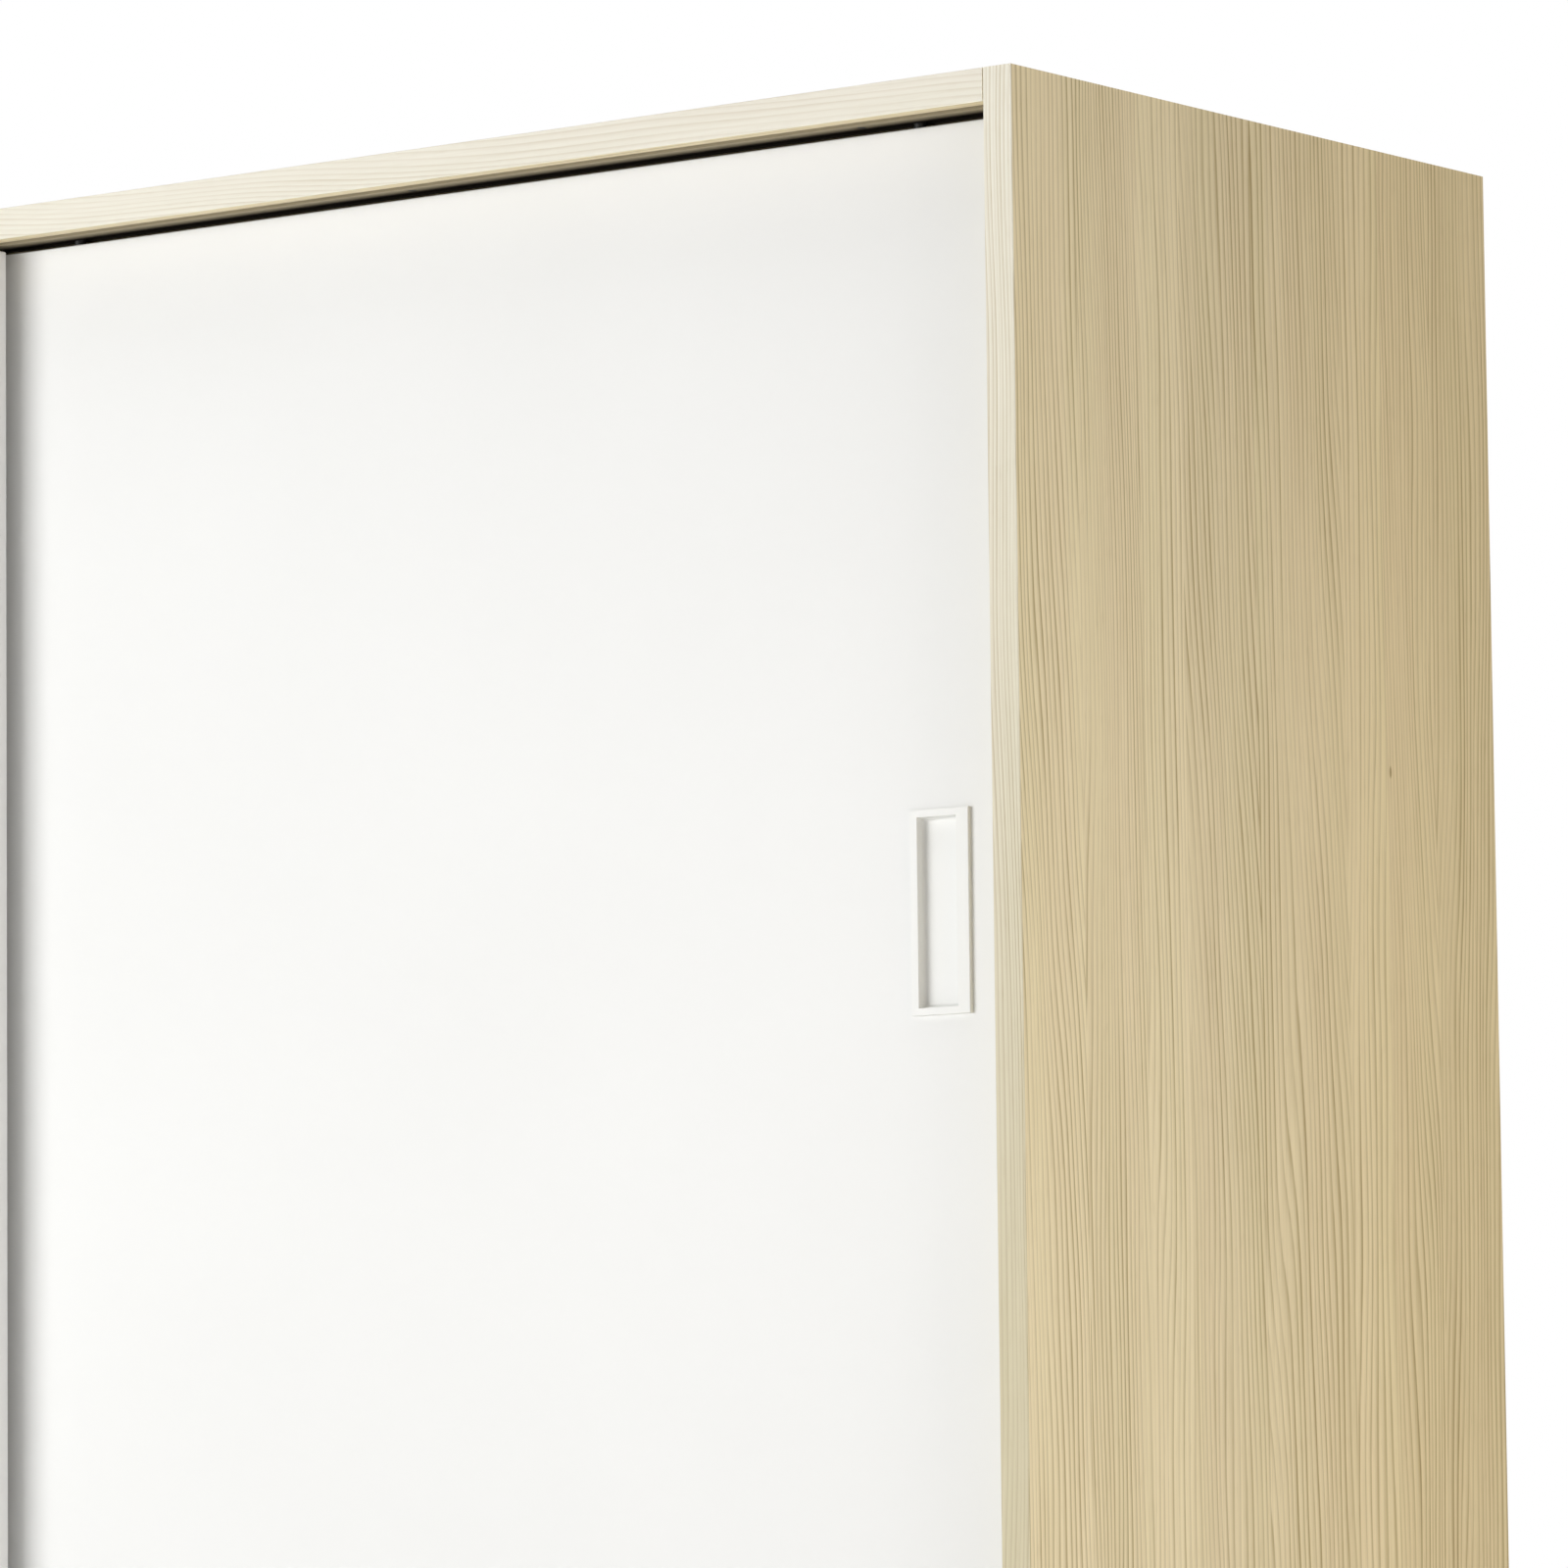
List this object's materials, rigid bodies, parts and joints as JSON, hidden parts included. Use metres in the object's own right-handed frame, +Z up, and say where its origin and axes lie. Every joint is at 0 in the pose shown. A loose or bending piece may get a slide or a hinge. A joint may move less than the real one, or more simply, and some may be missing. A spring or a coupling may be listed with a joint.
{
  "type": "sliding door wardrobe",
  "caption": "Tall inset sliding door wardrobe: pale wood carcase, overlapping flat white doors on hidden rollers with flush pulls, hanging bay and shelves.",
  "frame": {"origin": "on the floor, in the middle of the footprint", "axes": "+X to the right seen from the front, +Y from the doors to the back, +Z up"},
  "size_m": [1.81, 0.57, 2.01],
  "materials": {
    "pale_wood_board": "bleached wood grain, satin",
    "pale_wood_edging": "bleached wood grain, satin",
    "hardboard": "matt",
    "white_lacquered_board": "white satin lacquer",
    "white_plastic": "satin",
    "grey_plastic": "matt",
    "wheel_plastic": "satin",
    "black_plastic": "matt",
    "brown_plastic": "matt",
    "steel": "zinc plated",
    "rail_chrome": "polished",
    "aluminium": "anodised",
    "beech": "raw",
    "rubber": "soft"
  },
  "bodies": {
    "carcase": {"side_panel_left": "pale_wood_board", "side_panel_right": "pale_wood_board", "top_panel": "pale_wood_board", "bottom_panel": "pale_wood_board", "carcase_edge_bands": "pale_wood_edging", "centre_partition": "pale_wood_board", "hat_shelf": "pale_wood_board", "shelf_1": "pale_wood_board", "shelf_2": "pale_wood_board", "shelf_3": "pale_wood_board", "shelf_4": "pale_wood_board", "interior_edge_bands": "pale_wood_edging", "plinth_board_front": "pale_wood_board", "plinth_board_rear": "pale_wood_board", "back_panel_left": "hardboard", "back_panel_right": "hardboard", "back_panel_nails": "steel", "cam_locks": "steel", "cam_bolts": "steel", "wood_dowels": "beech", "shelf_pins": "steel", "clothes_rail": "rail_chrome", "rail_sockets": "rail_chrome", "rail_socket_screws": "steel", "glide_feet": "black_plastic", "wall_brackets": "steel", "wall_bracket_screws": "steel", "top_track": "brown_plastic", "bottom_track": "aluminium", "track_screws": "steel", "door_buffers": "rubber"},
    "left_door": {"left_door_panel": "white_lacquered_board", "left_door_pull": "white_plastic", "left_door_pull_screws": "steel", "left_door_roller_housings": "grey_plastic", "left_door_roller_axles": "steel", "left_door_guide_housings": "grey_plastic", "left_door_fitting_screws": "steel", "left_door_guide_spring_left": "steel", "left_door_guide_spring_right": "steel"},
    "left_door_wheel_left": {"left_door_wheel_left": "wheel_plastic"},
    "left_door_guide_pin_left": {"left_door_guide_pin_left": "black_plastic"},
    "left_door_wheel_right": {"left_door_wheel_right": "wheel_plastic"},
    "left_door_guide_pin_right": {"left_door_guide_pin_right": "black_plastic"},
    "right_door": {"right_door_panel": "white_lacquered_board", "right_door_pull": "white_plastic", "right_door_pull_screws": "steel", "right_door_roller_housings": "grey_plastic", "right_door_roller_axles": "steel", "right_door_guide_housings": "grey_plastic", "right_door_fitting_screws": "steel", "right_door_guide_spring_left": "steel", "right_door_guide_spring_right": "steel"},
    "right_door_wheel_left": {"right_door_wheel_left": "wheel_plastic"},
    "right_door_guide_pin_left": {"right_door_guide_pin_left": "black_plastic"},
    "right_door_wheel_right": {"right_door_wheel_right": "wheel_plastic"},
    "right_door_guide_pin_right": {"right_door_guide_pin_right": "black_plastic"}
  },
  "joints": [
    {"name": "left_door_slide", "type": "slide", "parent": "carcase", "child": "left_door", "axis": [1, 0, 0], "range_m": [0, 0.868]},
    {"name": "left_door_wheel_left_spin", "type": "hinge", "parent": "left_door", "child": "left_door_wheel_left", "pos_m": [-0.801, -0.268, 0.1007], "axis": [0, 1, 0], "continuous": true},
    {"name": "left_door_guide_pin_left_press", "type": "slide", "parent": "left_door", "child": "left_door_guide_pin_left", "axis": [0, 0, 1], "range_m": [-0.009, 0], "stiffness_N_per_m": 250, "springref_m": 0.004, "deforming": ["left_door_guide_spring_left"]},
    {"name": "left_door_wheel_right_spin", "type": "hinge", "parent": "left_door", "child": "left_door_wheel_right", "pos_m": [-0.067, -0.268, 0.1007], "axis": [0, 1, 0], "continuous": true},
    {"name": "left_door_guide_pin_right_press", "type": "slide", "parent": "left_door", "child": "left_door_guide_pin_right", "axis": [0, 0, 1], "range_m": [-0.009, 0], "stiffness_N_per_m": 250, "springref_m": 0.004, "deforming": ["left_door_guide_spring_right"]},
    {"name": "right_door_slide", "type": "slide", "parent": "carcase", "child": "right_door", "axis": [1, 0, 0], "range_m": [-0.868, 0]},
    {"name": "right_door_wheel_left_spin", "type": "hinge", "parent": "right_door", "child": "right_door_wheel_left", "pos_m": [0.067, -0.241, 0.1007], "axis": [0, 1, 0], "continuous": true},
    {"name": "right_door_guide_pin_left_press", "type": "slide", "parent": "right_door", "child": "right_door_guide_pin_left", "axis": [0, 0, 1], "range_m": [-0.009, 0], "stiffness_N_per_m": 250, "springref_m": 0.004, "deforming": ["right_door_guide_spring_left"]},
    {"name": "right_door_wheel_right_spin", "type": "hinge", "parent": "right_door", "child": "right_door_wheel_right", "pos_m": [0.801, -0.241, 0.1007], "axis": [0, 1, 0], "continuous": true},
    {"name": "right_door_guide_pin_right_press", "type": "slide", "parent": "right_door", "child": "right_door_guide_pin_right", "axis": [0, 0, 1], "range_m": [-0.009, 0], "stiffness_N_per_m": 250, "springref_m": 0.004, "deforming": ["right_door_guide_spring_right"]}
  ],
  "couplings": [
    {"joint": "left_door_wheel_left_spin", "follows": "left_door_slide", "rad_per_m": 111.11},
    {"joint": "left_door_wheel_right_spin", "follows": "left_door_slide", "rad_per_m": 111.11},
    {"joint": "right_door_wheel_left_spin", "follows": "right_door_slide", "rad_per_m": 111.11},
    {"joint": "right_door_wheel_right_spin", "follows": "right_door_slide", "rad_per_m": 111.11}
  ]
}
